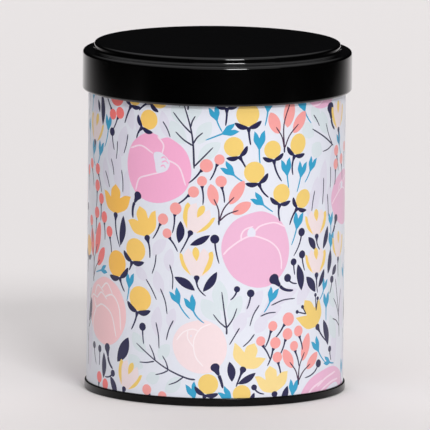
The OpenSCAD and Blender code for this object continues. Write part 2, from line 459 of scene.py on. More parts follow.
def disc(ink, u, v, rx, ry=None, lean=0.0):
    """A filled circle or ellipse."""
    ry = ry or rx
    place = at(u, v, lean)
    count = max(12, round(7 * math.sqrt(max(rx, ry)) + 8))
    turns = [2 * math.pi * k / count for k in range(count)]
    draw(ink, [place(rx * math.cos(t), ry * math.sin(t)) for t in turns])


def ribbon(ink, line, half_width):
    """A filled ribbon along a line, with half_width(t) to each side, t from 0 to 1."""
    left, right = [], []
    last = len(line) - 1
    for i, p in enumerate(line):
        d = (line[min(i + 1, last)] - line[max(i - 1, 0)]).normalized()
        side = Vector((-d[1], d[0])) * half_width(i / last)
        left.append(p + side)
        right.append(p - side)
    draw(ink, left + right[::-1])


def stroke(ink, points, width=0.5, end_width=None):
    """A pen stroke through points, with softened ends."""
    end_width = end_width or width
    line = through(points, 5)
    soft = lambda t: 0.55 if t < 0.01 or t > 0.99 else 1.0
    ribbon(ink, line, lambda t: (width + (end_width - width) * t) / 2 * soft(t))


def bowed(a, b, bow):
    """Three points from a to b, the middle one moved sideways by bow times the length."""
    a, b = Vector(a), Vector(b)
    side = Vector((-(b - a)[1], (b - a)[0]))
    return [a, (a + b) / 2 + side * bow, b]


def leaf(ink, a, b, width, bow=0.0, fullness=0.8, belly=0.0):
    """A leaf from a to b. Full leaves have a low fullness; belly moves the widest place towards b."""
    shape = lambda t: math.sin(math.pi * t ** (1 + belly)) ** fullness * width / 2
    line = through(bowed(a, b, bow), 6)
    ribbon(ink, line, lambda t: max(shape(min(t, 0.999)), 0.04))


# ---------------------------------------------------------------- the print: motifs


def stem(start, sweep, width=0.6, along=None, ink="navy"):
    """A stem from start that ends sweep away and sets off along a direction."""
    sweep = Vector(sweep)
    a, c = Vector(start), Vector(start) + sweep
    b = a + Vector(along or turned(sweep, 0.2)).normalized() * (c - a).length * 0.45
    line = [a * (1 - t) ** 2 + b * 2 * t * (1 - t) + c * t * t for t in (k / 7 for k in range(8))]
    ribbon(ink, line, lambda t: width * (1.15 - 0.35 * t) / 2 * (0.55 if t > 0.99 else 1.0))


def below(lean):
    """The direction a leaning motif's stem sets off in."""
    a = math.radians(lean)
    return Vector((-math.sin(a), -math.cos(a)))


def joined(*curves, start=None):
    """One outline from curves that each go on from the end of the one before, with sharp points between."""
    outline, start = [], start or curves[-1][-1]
    for curve in curves:
        outline += through([start, *curve], 5)[:-1]
        start = curve[-1]
    return outline


def scaled(place, x_size, y_size):
    """A function from points in a motif's own units to points on the plan."""
    return lambda *points: [place(x * x_size, y * y_size) for x, y in points]


def yellow_with_painted_light(u):
    """Painted light: the yellow is printed deeper towards the plan's left side, where less light and sheen
    fall, and paler to the right.
    """
    return "yellow_painted_shade" if u < -34 else "yellow_painted_half_shade" if u < -10 else "yellow"


def bud(u, v, r, lean, sweep, tall=1.0):
    """A round bud over two sepals."""
    place = at(u, v, lean)
    low = -r * tall
    foot = place(0, low - 0.5)
    disc(yellow_with_painted_light(u), u, v, r, r * tall, lean)
    for side in (-1, 1):
        tip = place(side * (r * 0.8 + 1.35), low * 0.62)
        leaf("navy", foot, tip, r * 0.26 + 0.7, side * -0.1, 0.62)
    neck = ((-0.9, -0.2), (-0.34, -2.0), (0.34, -2.0), (0.9, -0.2))
    draw("navy", [place(x, low + y) for x, y in neck])
    stem(place(0, low - 1.7), sweep, 0.62, below(lean))


def tulip(u, v, rx, ry, lean, sweep=None, flip=1, side=0.0, ink=None):
    """A tulip of three pointed petals over a navy drop. side raises one outer petal over the other."""
    place = at(u, v, lean)
    spots = scaled(place, flip * rx, ry)
    draw(ink or yellow_with_painted_light(u), joined(
        spots((-0.7, -0.56), (-1.0, 0.42 + side)),
        spots((-0.7, 0.36 + side), (-0.4, 0.16)),
        spots((-0.36, 0.72), (-0.04, 1.12)),
        spots((0.3, 0.7), (0.3, 0.2)),
        spots((0.64, 0.44), (1.02, 0.56 - side)),
        spots((0.76, -0.46), (0, -0.95)),
    ))
    calyx(place(0, -ry * 0.95 - 0.35), lean, 1.08)
    if sweep:
        stem(place(0, -ry * 0.95 - 1.9), sweep, 0.58, below(lean))


def calyx(spot, lean, r):
    """A small navy drop, round on top and drawn out into the stem below."""
    place = at(spot[0], spot[1], lean)
    drop = [(0, 0.88), (0.74, 0.6), (0.98, -0.1), (0.56, -0.85), (0.24, -1.8), (-0.24, -1.8), (-0.56, -0.85),
            (-0.98, -0.1), (-0.74, 0.6)]
    draw("navy", through([place(x * r, y * r) for x, y in drop], 3, closed=True))


def cup(u, v, rx, ry, lean, sweep=None, flip=1):
    """A pale cup flower, yellow on its outer petals and on its middle one."""
    place = at(u, v, lean)
    spots = scaled(place, flip * rx, ry)
    draw("cup", joined(
        spots((-0.66, -0.7), (-0.8, 0.5)),
        spots((-0.66, 0.75), (-0.42, 1.0)),
        spots((-0.24, 0.72), (-0.1, 0.45)),
        spots((0.2, 0.6), (0.5, 0.98)),
        spots((0.68, 0.72), (0.8, 0.42)),
        spots((0.68, -0.6), (0.0, -1.02)),
    ))
    draw("cup_yellow", joined(
        spots((-0.82, -0.35), (-1.0, 0.4), (-0.94, 0.78)),
        spots((-0.72, 0.66), (-0.7, 0.2), (-0.3, -0.9)),
    ))
    draw("cup_yellow", joined(
        spots((0.82, -0.42), (1.02, 0.2), (1.04, 0.62)),
        spots((0.86, 0.5), (0.74, 0.0), (0.34, -0.92)),
    ))
    middle = spots((0.0, 0.1), (0.08, 1.06))
    leaf("cup_yellow", middle[0], middle[1], rx * 0.42, 0, 0.6, 0.35)
    calyx(place(0, -ry - 0.3), lean, 0.95)
    if sweep:
        stem(place(0, -ry - 1.6), sweep, 0.5, below(lean))


def coral_with_painted_light(u):
    """Painted light: the coral is printed deeper towards the plan's left side, where less light and sheen
    fall, and paler to the right.
    """
    return "coral_painted_shade" if u < -30 else "coral"


def berry(u, v, r, sweep):
    """A coral berry with a pointed navy cap on its stem."""
    disc(coral_with_painted_light(u), u, v, r)
    away = Vector(sweep).normalized()
    side = Vector((-away[1], away[0]))
    top = Vector((u, v)) + away * r * 0.97
    draw("navy", [top + side * 0.62, top + away * 1.7, top - side * 0.62])
    stem(top + away * 0.9, Vector(sweep) * 0.9, 0.52)


def dot(u, v, r, sweep):
    """A navy seed head on a thin stem, that leaves it downwards."""
    disc("navy", u, v, r)
    down = Vector((sweep[0] * 0.3, sweep[1])).normalized()
    stem(Vector((u, v)) + down * r * 0.8, sweep, 0.5, down)


def sprout(u, v, size, lean, sweep):
    """A teal sprout of two pointed lobes, drawn out into its stem."""
    place = at(u, v, lean)
    spots = scaled(place, size, size)
    draw("teal", joined(
        spots((-0.28, -0.5), (-0.6, 0.04), (-0.54, 0.92)),
        spots((-0.22, 0.62), (-0.03, 0.24)),
        spots((0.14, 0.68), (0.5, 1.02)),
        spots((0.58, 0.1), (0.28, -0.5), (0.07, -0.86)),
        start=place(-0.07 * size, -0.86 * size),
    ))
    down = below(lean)
    stem(place(0, -0.75 * size), Vector(sweep) + down * 0.12 * size, 0.48, down, "teal")


def coral_spray(u, v, tips, widths, veins=(0.6, 0.6, 0.6)):
    """Coral leaves on twigs that spread from one foot. tips are (x, y) from the foot."""
    foot = Vector((u, v))
    for (x, y), width, share in zip(tips, widths, veins):
        tip = foot + Vector((x, y))
        start = foot + Vector((x, y)) * 0.42
        leaf(coral_with_painted_light(u), start, tip, width, 0.0, 0.6)
        turn = -0.09 if x < 0 else 0.09
        stroke("vein", bowed(foot, foot + Vector((x, y)) * share, turn), 0.5, 0.38)
    stroke("navy", [foot + Vector((0, 0.4)), foot + Vector((0, -1.2))], 0.7, 0.45)


NOTCHED_EDGE = ((0.4, 0.9), (0.86, 0.52), (1.0, -0.12), (0.76, -0.7), (0.14, -1.01),
                (-0.46, -0.94), (-0.85, -0.56), (-1.0, 0.06), (-0.82, 0.66), (-0.36, 1.0), (-0.02, 0.98),
                (0.1, 0.86))
ROUND_EDGE = ((-0.24, 0.95), (0.24, 1.0), (0.76, 0.7), (1.0, 0.1), (0.9, -0.5), (0.46, -0.94), (-0.1, -1.0),
              (-0.66, -0.72), (-0.96, -0.2), (-0.96, 0.3), (-0.68, 0.74))
NO_EYE = ((-0.4, 0.6), (0.4, 0.6), (0.4, -0.6), (-0.4, -0.6))

# Each pattern: the eye's place, its outline in eye sizes, its size, and the pale lines that part the petals
ROSES = {
    "open": (
        (0.1, 0.17),
        ((-0.62, 0.8), (0.0, 0.95), (0.62, 0.5), (0.9, 0.0), (0.6, -0.7), (-0.3, -0.95), (-0.5, -0.1)),
        0.32,
        (((-0.87, 0.52), (-0.5, 0.62), (-0.12, 0.42)),
         ((0.02, 0.93), (0.2, 0.7), (0.16, 0.44)),
         ((0.34, 0.26), (0.66, 0.06), (0.84, -0.46)),
         ((-0.7, -0.7), (-0.58, -0.36), (-0.3, -0.24), (0.1, -0.12))),
    ),
    "closed": (
        (-0.15, 0.46),
        ((-0.8, -0.7), (-0.7, 0.5), (0.1, 1.0), (0.9, 0.3), (0.7, -0.8)),
        0.13,
        (((-0.44, 0.24), (-0.43, 0.42), (-0.32, 0.55), (-0.1, 0.62)),
         ((-0.94, -0.12), (-0.77, 0.05), (-0.44, 0.27), (-0.14, 0.37), (0.16, 0.3), (0.44, 0.17),
          (0.66, -0.04), (0.75, -0.32), (0.75, -0.56)),
         ((-0.06, 0.48), (0.08, 0.61), (0.32, 0.68), (0.58, 0.69), (0.88, 0.56))),
    ),
    "swirl": (
        (0.1, 0.16),
        ((-1.0, -0.5), (-0.6, 0.2), (0.0, 0.6), (0.6, 0.66), (0.95, 0.2), (0.8, -0.6), (-0.2, -0.8)),
        0.5,
        (((-0.42, 0.5), (-0.09, 0.71), (0.34, 0.82)),
         ((-0.84, 0.12), (-0.6, 0.46), (-0.24, 0.66)),
         ((-0.5, -0.1), (-0.34, 0.3), (0.1, 0.54), (0.5, 0.58))),
    ),
    "double": (
        (-0.3, 0.4), NO_EYE, 0.0,
        (((-0.92, 0.2), (-0.72, 0.5), (-0.4, 0.42)),
         ((-0.55, 0.52), (-0.3, 0.78), (0.05, 0.56)),
         ((-0.1, 0.66), (0.26, 0.82), (0.5, 0.5)),
         ((-0.42, 0.4), (-0.1, 0.56), (0.2, 0.34)),
         ((0.1, 0.42), (0.5, 0.46), (0.74, 0.08), (0.72, -0.6)),
         ((-0.62, 0.42), (-0.5, 0.14), (-0.1, 0.2), (0.36, -0.1), (0.5, -0.8)),
         ((-0.5, 0.12), (-0.76, -0.2), (-0.8, -0.6))),
    ),
    "folded": (
        (-0.3, 0.4), NO_EYE, 0.05,
        (((0.14, -0.74), (-0.14, -0.36), (-0.2, 0.22), (0.04, 0.68), (0.42, 0.88)),
         ((-0.84, 0.22), (-0.6, 0.52), (-0.26, 0.66), (-0.04, 0.6)),
         ((-0.42, 0.58), (-0.42, 0.3), (-0.2, -0.04))),
    ),
}


def bloom(u, v, ru, rv, lean, pattern="open", fill="pink", line="pink_line"):
    """A large rose seen from above: petals parted by pale lines round an eye."""
    place = at(u, v, lean)
    spots = scaled(place, ru, rv)
    if pattern == "open":
        draw(fill, joined(spots(*NOTCHED_EDGE)))
    else:
        draw(fill, through(spots(*ROUND_EDGE), 5, closed=True))
    (x, y), outline, size, lines = ROSES[pattern]
    wide = 0.048 * ru
    for points in lines:
        stroke(line, spots(*points), wide, wide * 0.85)
    if size:
        draw("eye", through(spots(*((x + a * size, y + b * size) for a, b in outline)), 5, closed=True))
    if pattern == "open":
        for dx, dy, reach in ((0.1, 0.42, 0.5), (0.15, 0.05, 0.62), (0.05, -0.35, 0.45)):
            start = (x + dx * size, y + dy * size)
            bend = (x + (dx + reach * 0.6) * size, y + (dy + 0.12) * size)
            end = (x + (dx + reach) * size, y + (dy - 0.12) * size)
            stroke(fill, spots(start, bend, end), wide * 0.9, wide * 0.6)


def rose_foot(u, v, lean, sweep, r=1.4):
    """The navy calyx under a rose, on a thick stem."""
    calyx((u, v), lean, r)
    place = at(u, v, lean)
    stem(place(0, -r * 1.9), sweep, 0.95, below(lean))


def twig(points, twigs, width=0.55):
    """A branching twig: a main line, and side twigs as rows of start, end and bow."""
    stroke("twig", points, width * 1.1, width * 0.7)
    for u, v, to_u, to_v, bow in twigs:
        stroke("twig", bowed((u, v), (to_u, to_v), bow), width * 0.9, width * 0.6)


# ---------------------------------------------------------------- the print: layout, u and v in millimetres


def background():
    """Pale lilac and mint leaves behind everything else."""
    for u, v, to_u, to_v, width in (
        (-29, 86, -31, 96, 4.2), (-34, 77, -32, 87, 4.5), (-38, 72, -39, 82, 4.8), (-36, 66, -35, 78, 4),
        (-41, 66, -43, 76, 4), (-31.5, 62, -31.5, 73, 3.5), (-25.5, 84, -26, 92, 3.5),
        (-15, 84, -18, 93, 3.6), (-21.2, 46.9, -16.6, 52.3, 3.8), (-15.7, 42.3, -14.9, 49.6, 3.6),
        (-23.3, 38.8, -27.7, 43.2, 3.4), (-17.8, 34.9, -20.1, 42.2, 3.8), (-19.6, 21.4, -19.4, 30.9, 4),
        (-15.3, 24.3, -13.9, 30.7, 3.4), (9.5, 28, 14.5, 36.5, 4.5), (5.9, 23, 8.8, 29.7, 4.4),
        (12.2, 23, 15.9, 27.9, 4.2), (15, 31, 27, 36, 4.6), (13, 27, 21, 31, 4), (27, 31, 33, 38, 4.2),
        (35, 60, 36, 71, 4.4), (39, 62, 40, 76, 4.4), (32, 58, 33.5, 67, 3.8), (42, 56, 43, 68, 4),
        (46, 66, 45, 80, 4.2), (-48, 84, -50, 96, 4), (-56, 6, -54, 22, 5), (-60, 20, -59, 36, 5),
        (54, 20, 52, 34, 5), (57, 4, 58, 18, 5), (45, 8, 47, 22, 4.4),
    ):
        leaf("lilac", (u, v), (to_u, to_v), width, 0.05, 0.7)
    for u, v, to_u, to_v, width in (
        (-10.5, 89, -13.5, 96.5, 5), (-10, 83, -15, 90, 5), (-6, 83, -2, 90, 4.6), (-6, 77, 1, 83.5, 4.6),
        (-8, 90, -5.5, 98, 4.6), (-12, 76, -14.5, 83, 4), (2, 30, 0.5, 40, 5), (1, 27.5, -5, 34, 5.2),
        (4, 27, 7.5, 35, 4.4), (34, 84, 29.5, 88.5, 5), (38, 78, 33.5, 81.5, 5.4), (41, 84, 38, 91.5, 4.8),
        (37, 88, 33.5, 94, 4.2), (-24, 16, -29, 22, 4.6), (-25, 11, -31, 14.5, 4.4),
        (-19, 14, -15.5, 19, 4), (-19, 9, -24, 7.5, 4), (-12, 9, -17, 4, 4.2), (46, 28, 42.5, 36, 4.4),
        (47, 18, 43, 26, 4.6), (50, 34, 52, 44, 4.6),
    ):
        leaf("mint", (u, v), (to_u, to_v), width, 0.05, 0.7)


def roses():
    """The large pink and blush blooms with their stems."""
    # Painted shade: the bloom on the left takes the deeper pink.
    bloom(-19.8, 74.7, 11.5, 10.8, 0, "open", "rose")
    rose_foot(-27.0, 65.4, 30, (-0.6, -4.8), 1.45)
    bloom(12.4, 49.5, 11.3, 11.9, 0, "closed")
    rose_foot(18.3, 39.9, -42, (4.8, -1.6), 1.75)
    bloom(41.8, -1.2, 14.2, 10.6, 0, "swirl")
    bloom(54.5, 62.2, 10.9, 8.7, 0, "closed")
    rose_foot(47.2, 56.4, 25, (-2.4, -3.4), 1.35)
    bloom(38.4, 103.2, 10.4, 10.6, 150, "closed")
    rose_foot(43.2, 92.0, -8, (2.2, -3.4), 2.0)
    bloom(-43.7, 27.0, 11.6, 10.6, -8, "double", "flesh", "blush_line")
    rose_foot(-41.8, 15.6, -10, (2.6, -3.4), 1.6)
    bloom(-5.8, 18.8, 8.7, 8.4, 0, "folded", "blush", "blush_line")
    rose_foot(-0.8, 12.3, -25, (1.2, -4.0), 1.5)


def buds():
    """Round yellow buds."""
    bud(-22.7, 89.8, 3.15, 44, (-1.4, -2.8))
    bud(-18.9, 96.6, 3.0, 68, (-3.2, -2.4))
    bud(-28.2, 96.6, 2.8, 28, (-2.2, -4.8))
    bud(9.6, 92.3, 3.75, -3, (0.6, -4.2))
    bud(5.1, 82.2, 3.15, -30, (1.5, -2.6))
    bud(11.7, 74, 3.4, -22, (2.8, -3.4))
    bud(17.8, 80.9, 2.9, -8, (2.6, -5.6))
    bud(27.3, 82.1, 3.0, 22, (-0.2, -5.0), 1.12)
    bud(21, 66.9, 3.0, 12, (0.4, -4.2))
    bud(29.3, 64.6, 2.7, 40, (-2.2, -4.2), 1.18)
    bud(-36.5, 42.9, 4.4, -20, (1.8, -3.0), 0.95)
    bud(-28, 48.1, 3.95, 20, (-0.8, -1.6), 0.93)
    bud(-26.2, 32.8, 4.3, 14, (-2.2, -4.6), 0.92)
    bud(-3, 7.0, 3.2, 16, (-0.4, -2))
    bud(7.6, 3.8, 2.9, -30, (2, -3))
    bud(2.9, 97.8, 3.0, 0, (-0.4, -4.2))
    bud(-58, 46, 3.4, 10, (-1, -4))


def tulips():
    """Yellow tulips and pale cup flowers."""
    tulip(-36.8, 62.9, 6.7, 4.6, 2, (2.2, -8.4), side=0.1)
    tulip(-24.9, 57.0, 5.7, 4.8, -18, (0.5, -4.8), -1, side=0.12)
    # Painted sheen: the two low tulips take a paler yellow.
    tulip(9.7, 15.6, 5.7, 4.2, 23, (-1.6, -4.0), -1, side=-0.05, ink="yellow_painted_sheen")
    tulip(17.8, 7.7, 5.7, 4.3, -9, None, side=0.15, ink="yellow_painted_sheen")
    tulip(33.0, 27.4, 5.7, 5.1, -34, (4.2, -4.0), -1, side=-0.1)
    cup(-49.5, 84.5, 5.0, 4.6, 15)
    cup(-6.6, 59.3, 5.0, 4.6, 24, (-2.8, -5.3))
    cup(-6.6, 45.5, 5.3, 4.6, 0, (2.9, -4.4), -1)
    cup(35.5, 56.4, 5.1, 4.1, 0, (1.6, -3.2), -1)
    cup(35.4, 44.1, 4.9, 4.1, 0, (0.5, -4.4), -1)
    cup(-31.2, 7.9, 5.0, 4.5, 22, None)
    cup(49, 89, 5.0, 4.4, -4, (0.6, -4))
    cup(49.5, 47.5, 5.0, 4.2, 4, (0.4, -4.4), -1)
    for u, v, x, y in (
        (30.6, 27.8, -3.7, 1.0), (30.6, 27.8, -1.5, 2.4), (35.2, 28.4, -0.3, 5.0), (35.2, 28.4, 0.8, 3.8),
    ):
        stroke("twig", [(u, v), (u + x, v + y)], 0.45)
        disc("navy", u + x, v + y, 0.62)


def berries():
    """Coral berries in loose groups."""
    for u, v, r, x, y in (
        (-38.3, 90, 1.75, -2.8, 5), (-34.7, 90.8, 1.9, -2.6, -4), (-3.5, 76.2, 2.1, -4, -4),
        (0.6, 78.2, 1.65, -2.2, -4.8), (-4.9, 71.3, 1.6, 0.2, -5.6), (1.1, 71.3, 1.8, 0.7, -4.6),
        (-7.6, 67.8, 1.8, -3.6, -2.8), (-13.4, 62.3, 1.95, -0.8, -5.6), (-17.7, 58.7, 1.8, -2.6, -4.6),
        (-16.3, 54.3, 1.55, 2.5, -4), (-48.4, 71.5, 1.75, 2.2, -5.2), (-48.6, 66.2, 1.85, -0.8, -5.6),
        (-45.6, 62.4, 1.75, -0.4, -5), (-49, 57.6, 1.85, -0.9, -5), (-43.6, 56.8, 1.85, 0.3, -5),
        (-40.4, 52.6, 1.75, 0.9, -5.2), (-54, 72.5, 1.7, 1.6, -5), (-54.4, 54.4, 1.7, 1, -4.8),
        (23.5, 26.8, 2.15, -3.8, -4.4), (17.9, 25, 1.6, -1.9, -4.8), (23.2, 22.1, 1.85, -1.9, -4.4),
        (27.4, 22.7, 1.75, 1.1, -4), (13.8, 20.4, 1.55, 2.3, -4.4), (18.8, 19.6, 1.85, -2, -5.2),
        (25.7, 18.1, 1.6, 1.4, -4.8), (19.5, 15, 1.7, 0.9, -4.8), (-47.4, 5.6, 1.8, -0.8, -4.4),
        (-43.2, 3.8, 1.8, 1, -4), (-23.6, 4.2, 1.7, 1.8, -3), (-18, 2.6, 1.5, -1, -3),
        (47.4, 77.9, 1.75, 1.2, -4.6), (47, 73.6, 1.75, -0.6, -4.4), (52.4, 74.6, 1.75, 0.8, -4.6),
        (57, 78, 1.7, -1.2, -4.6), (-58, 70, 1.7, 0.4, -4.6),
    ):
        berry(u, v, r, (x, y))
    # Painted shade: this disc takes the deeper coral of the plan's left side.
    disc("coral_painted_shade", -36.2, 96, 3.4, 3.2)


def sprays():
    """Coral leaves."""
    coral_spray(0.4, 58.6, ((-2.6, 11.8), (8, 12.8), (10.2, 5.8)), (3.5, 3.6, 3.5))
    coral_spray(22, 80.9, ((-4.9, 11.8), (2.6, 16), (8.2, 11.4)), (4, 4.2, 3.9), (0.6, 0.95, 0.66))
    coral_spray(27.4, 6.7, ((-5.6, 10.6), (4.2, 15), (8.4, 8.4)), (3.5, 3.4, 3.2))
    coral_spray(-52, 36.5, ((8.6, 10.6), (5.4, 18.4), (-1.6, 16)), (3.6, 3.8, 3.4))


def sprouts():
    """Teal sprouts."""
    for u, v, size, lean, x, y in (
        (-40.8, 86.9, 2.9, 6, -2.2, -5.4), (-51.6, 77.6, 2.8, 12, 1.8, -3), (-46, 78, 2.9, 18, -3, -3.8),
        (-0.8, 92.6, 2.7, -16, 1.6, -3.4), (3.6, 87.2, 2.9, 68, -5, -2), (13.4, 83.9, 3.3, 2, 0.3, -4.6),
        (3.6, 74.8, 2.8, -45, 3.2, -2.2), (16.4, 95.4, 3.0, 6, -0.9, -4.2), (29.2, 94.6, 3.0, -20, 2.8, -4),
        (22.8, 74.9, 3.1, -6, 0.5, -3.8), (28.8, 73.7, 2.9, 14, -1.4, -4.4),
        (33.2, 75, 2.7, 24, -2.2, -3.2), (13.1, 65, 2.7, -48, 3.1, -2.2), (27.2, 57.6, 3.1, 14, -1.9, -4.8),
        (-44.2, 40, 2.3, 78, -3.6, -1), (-30.4, 38, 2.8, 8, -0.9, -4), (-13.2, 34.2, 2.8, -24, 3.4, -4.4),
        (-8.4, 32.2, 2.9, -20, 3.3, -3.5), (17.7, 34.7, 2.8, 22, -1.9, -3), (39.6, 36, 2.2, 20, -2, -2.6),
        (40.6, 30.9, 2.8, 2, 0, -4), (43.4, 56.4, 2.4, 0, 0.2, -3.4), (43.6, 49.8, 2.8, 8, -0.9, -4.6),
        (35.4, 17.2, 2.8, -28, 3.6, -3.8), (41.4, 11.4, 2.2, -70, 2.4, -0.4), (-8, 4.6, 2.9, -16, 1.2, -4),
        (2.8, 3.4, 2.8, -40, 2.6, -3), (25.4, 4.8, 2.9, 10, -0.8, -4), (49.6, 81.2, 2.6, -18, 1.4, -3),
        (-52, 95.4, 2.9, 10, -1, -4), (-57, 84, 2.6, -10, 1, -3.6), (54, 8, 2.8, 12, -1, -4),
        (56, 38, 2.8, -20, 2, -4),
    ):
        sprout(u, v, size, lean, (x, y))


def navy_leaves():
    """Solid navy leaves and the seed heads."""
    for u, v, to_u, to_v, width in (
        (-44.8, 96, -44.4, 85.8, 2.3), (-33.2, 58.4, -34.6, 48.8, 2.4), (-11.8, 58.4, -12.4, 51.4, 2.3),
        (-2.4, 54.2, -8.7, 50.9, 1.8), (-13.8, 40.6, -7.2, 36.6, 2.3), (-0.2, 42.6, -4.6, 36.3, 2.1),
        (27.2, 43.9, 28.6, 35.5, 2.5), (30.7, 39.6, 34.8, 34.4, 2.5), (39.4, 41.2, 36.4, 35.6, 1.7),
        (31.6, 52.1, 34.8, 47.8, 2.1), (41.4, 54.6, 38.8, 47.6, 1.9), (-31, 20, -36.2, 11.8, 3.6),
        (-44, 13.8, -44.4, 5.6, 2.5), (-40, 6.8, -36.6, 0.6, 2.2), (3.7, 14.1, 4.5, 7.8, 2.2),
        (12.1, 10.4, 6.4, 7, 1.8), (39, 25, 41.6, 16.6, 2.4), (23.2, 5.6, 21, 0.6, 1.9),
        (43.2, 47, 41.6, 39.3, 2.0), (47.2, 41.6, 44.4, 38.6, 2.0), (-54, 30, -57, 22, 2.4),
        (60, 30, 58, 22, 2.3), (-47.8, 93.6, -46.6, 89.6, 1.4),
    ):
        leaf("navy", (u, v), (to_u, to_v), width * 1.18, 0.04, 0.78)
    for u, v, r, x, y in (
        (-38.7, 84.4, 1.35, 1, -4.6), (-0.9, 53, 1.45, 1.3, -6.6), (28.7, 54, 1.35, -3, -6.2),
        (28.9, 46.9, 1.3, 1, -4.2), (25.5, 44.8, 1.15, 0.4, -3.2), (23.2, 39.9, 1.3, 3, -1.2),
        (6.1, 37.1, 1.0, -1.9, -2.6), (10.5, 35.7, 1.25, -1.2, -4), (-25.2, 24, 1.3, 0.4, -4.4),
        (-47, 14.6, 1.2, -0.4, -4.4), (-51.4, 15.2, 1.2, 1.6, -5), (-38.6, 7.8, 1.15, -4, -1),
        (11.6, 5.8, 0.95, 3, -1.6), (36.4, 11.4, 1.3, -5.8, -3), (44.2, 37.2, 1.2, -1.4, -3.4),
        (42.8, 15.2, 1.0, 0.8, -3), (-60, 58, 1.3, -1, -5), (61, 44, 1.3, 0.6, -5),
    ):
        dot(u, v, r, (x, y))


def twigs():
    """Branching twigs and loose strokes."""
    twig([(-7.4, 75.2), (-7.7, 82.6), (-8.6, 88.4), (-11, 96.5)],
         [(-7.8, 82.4, -13.4, 86.6, 0.05), (-8.2, 86.2, -14.2, 92.8, 0.025),
          (-7.7, 83, -4.6, 86.6, 0.075), (-8.5, 88.2, -7, 91.8, 0.06),
          (-7.4, 75.8, -1.4, 82, 0), (-9.4, 93.6, -8.6, 97, 0.05), (-12.6, 98, -12, 94.6, 0)], 0.62)
    twig([(2.8, 22.8), (2.8, 24.8), (2.1, 30), (1.3, 36.3)],
         [(2.8, 24.8, -1.4, 29.2, 0.05), (2.8, 24.8, 6.1, 31.1, -0.06)])
    twig([(45, 79.8), (39.6, 83.1), (33.4, 86.3)],
         [(44.4, 80.2, 40.4, 87.4, 0.05), (44.4, 80.2, 38.6, 78.6, 0.06)])
    twig([(-7.1, 8.3), (-9.9, 8.7), (-15.3, 10.8), (-20, 13.4), (-27.6, 18.6)],
         [(-20.4, 13.6, -22.6, 18.6, -0.04), (-20.8, 13.4, -26.4, 12.7, 0.04),
          (-16, 11.2, -17.9, 15.4, -0.06), (-16, 10.8, -20.4, 9.2, 0.05),
          (-11, 8.9, -15.8, 6.3, 0.06)])
    twig([(50.6, 18), (50, 25), (48.4, 31), (46.8, 37)],
         [(50, 24.4, 45.4, 31, -0.05), (50.2, 21.6, 44.8, 24.6, -0.075),
          (50, 25.6, 52.4, 33, 0.04)])
    twig([(-58.6, 8), (-58.2, 16), (-57, 24), (-54.6, 33)],
         [(-58.2, 15, -61, 22, 0.05), (-57.6, 20, -53.6, 25, -0.05)])
    for u, v, to_u, to_v, bow in (
        (-31.1, 84.4, -32.9, 78.2, 0.04), (-36, 81.7, -36.6, 76, 0.03), (-39.3, 75.8, -37.8, 70.8, 0.05),
        (-17.7, 89.6, -15.2, 84.8, 0.05), (-42.7, 71.6, -40.2, 66.6, 0.03), (-34, 72.8, -33.4, 65.8, 0.04),
        (-20.1, 47.3, -21.6, 41.1, 0.05), (-23.8, 39.2, -20, 33, 0.03), (-18.6, 36.6, -16.3, 28.7, 0.06),
        (-15.4, 44.4, -14.5, 36.6, 0.07), (-14.2, 26.8, -16.6, 20.4, -0.05),
        (-20.2, 25.8, -19.1, 17.6, 0.04), (13.3, 31.9, 10.2, 25.3, -0.06), (6.9, 24.8, 3.7, 19.5, 0),
        (11.7, 22.7, 8, 18.8, 0.05), (17.4, 31.6, 26, 33.2, 0.07), (13.7, 28.3, 19, 29.3, 0.07),
        (39.1, 70.2, 38.4, 61.8, 0.02), (34.5, 66.6, 33.1, 60.2, -0.02), (43.2, 73.2, 43, 66.6, 0.02),
        (41.2, 64.8, 41.8, 57.6, 0.02), (34, 90.7, 36.8, 87, 0.03), (-57, 94, -58.4, 87, 0.04),
        (60, 88, 58.6, 81, 0.04), (56, 20, 57.6, 12, 0.04), (61, 52, 59, 45, 0.04),
    ):
        stroke("twig", bowed((u, v), (to_u, to_v), bow), 0.45, 0.36)


for layer in (background, roses, twigs, sprouts, sprays, berries, navy_leaves, tulips, buds):
    layer()

# ---------------------------------------------------------------- the print: from plan to paper

COLUMNS = 102
STEP = 1e-4
PAPER_HIGH = PAPER_TOP - PAPER_FOOT
PASTED_R = PAPER_R - PAPER
OVERLAP_R = PAPER_R + PAPER


def repeated(outline):
    """The copies of an outline, a half turn apart, that reach into the plan."""
    copies = []
    for shift in (0, HALF_TURN, -HALF_TURN):
        copy = [p + Vector((shift, 0)) for p in outline]
        if min(p[0] for p in copy) < HALF_TURN / 2 and max(p[0] for p in copy) > -HALF_TURN / 2:
            copies.append(copy)
    return copies


def cut_plan():
    """The plan cut into triangles: (points, triangles, ink of each triangle)."""
    left, right = -HALF_TURN / 2, HALF_TURN / 2
    corners = ((left, PAPER_FOOT), (right, PAPER_FOOT), (right, PAPER_TOP), (left, PAPER_TOP))
    points = [Vector(p) for p in corners]
    regions, inks, lines = [[0, 1, 2, 3]], ["paper"], []
    for u in [left + HALF_TURN * k / COLUMNS for k in range(1, COLUMNS)] + [-OVERLAP / 2, OVERLAP / 2]:
        lines.append((len(points), len(points) + 1))
        points += [Vector((u, PAPER_FOOT)), Vector((u, PAPER_TOP))]
    for ink, outline in drawn:
        for copy in repeated(outline):
            regions.append(list(range(len(points), len(points) + len(copy))))
            points += copy
            inks.append(ink)
    spots, _, triangles, _, _, owners = delaunay_2d_cdt(points, lines, regions, 1, 1e-5)
    kept, colours = [], []
    for triangle, owner in zip(triangles, owners):
        if 0 in owner:
            kept.append(list(triangle))
            colours.append(inks[max(owner)])
    return spots, kept, colours


def rolled(u, v, r):
    """The point at u round the can from the front, at height v and radius r, in metres."""
    turn = u / PAPER_R - math.pi / 2
    return (r * math.cos(turn) * MM, r * math.sin(turn) * MM, v * MM)


